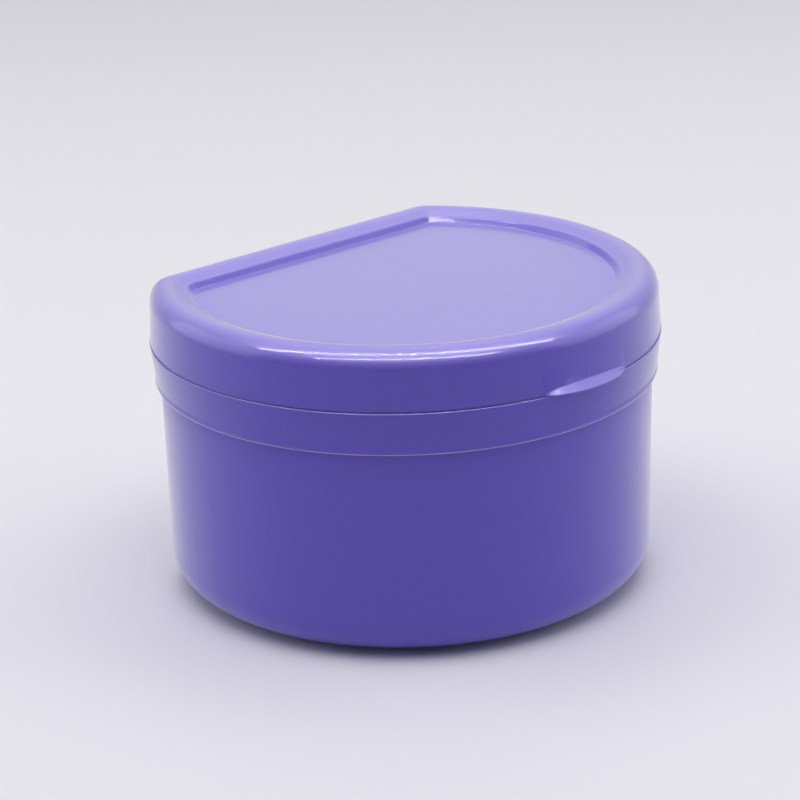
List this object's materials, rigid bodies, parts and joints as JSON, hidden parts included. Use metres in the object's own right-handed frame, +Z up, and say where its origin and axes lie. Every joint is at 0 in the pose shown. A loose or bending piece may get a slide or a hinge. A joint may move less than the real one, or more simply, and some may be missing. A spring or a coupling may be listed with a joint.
{
  "type": "denture case",
  "caption": "D-shaped hinged soaking case for dentures: deep cup, shallow lid with finger tab, lift-out strainer basket with a folding bail.",
  "frame": {"origin": "under the middle of the case, on the surface that it stands on, with the lid closed", "axes": "+Z up, +Y towards the hinge at the flat back, +X to the right when the finger tab faces the viewer"},
  "size_m": [0.0912, 0.0848, 0.0565],
  "materials": {
    "lilac_plastic": "moulded lilac polypropylene, satin gloss",
    "lilac_pin_plastic": "moulded lilac rod, satin",
    "white_plastic": "moulded white polypropylene, fine matte",
    "white_handle_plastic": "moulded white polypropylene, smooth"
  },
  "bodies": {
    "cup": {"cup": "lilac_plastic", "hinge_pin": "lilac_pin_plastic"},
    "lid": {"lid": "lilac_plastic"},
    "basket": {"strainer_basket": "white_plastic"},
    "handle": {"basket_handle": "white_handle_plastic"}
  },
  "joints": [
    {"name": "lid_hinge", "type": "hinge", "parent": "cup", "child": "lid", "pos_m": [0, 0.0396, 0.0463], "axis": [-1, 0, 0], "range_deg": [0, 120]},
    {"name": "basket_lift", "type": "slide", "parent": "cup", "child": "basket", "axis": [0, 0, 1], "range_m": [0, 0.05]},
    {"name": "handle_swing", "type": "hinge", "parent": "basket", "child": "handle", "pos_m": [0, 0.0104, 0.0375], "axis": [-1, 0, 0], "range_deg": [0, 105]}
  ],
  "couplings": [
    {"joint": "basket_lift", "follows": "lid_hinge", "m_per_rad": 0.0238}
  ]
}
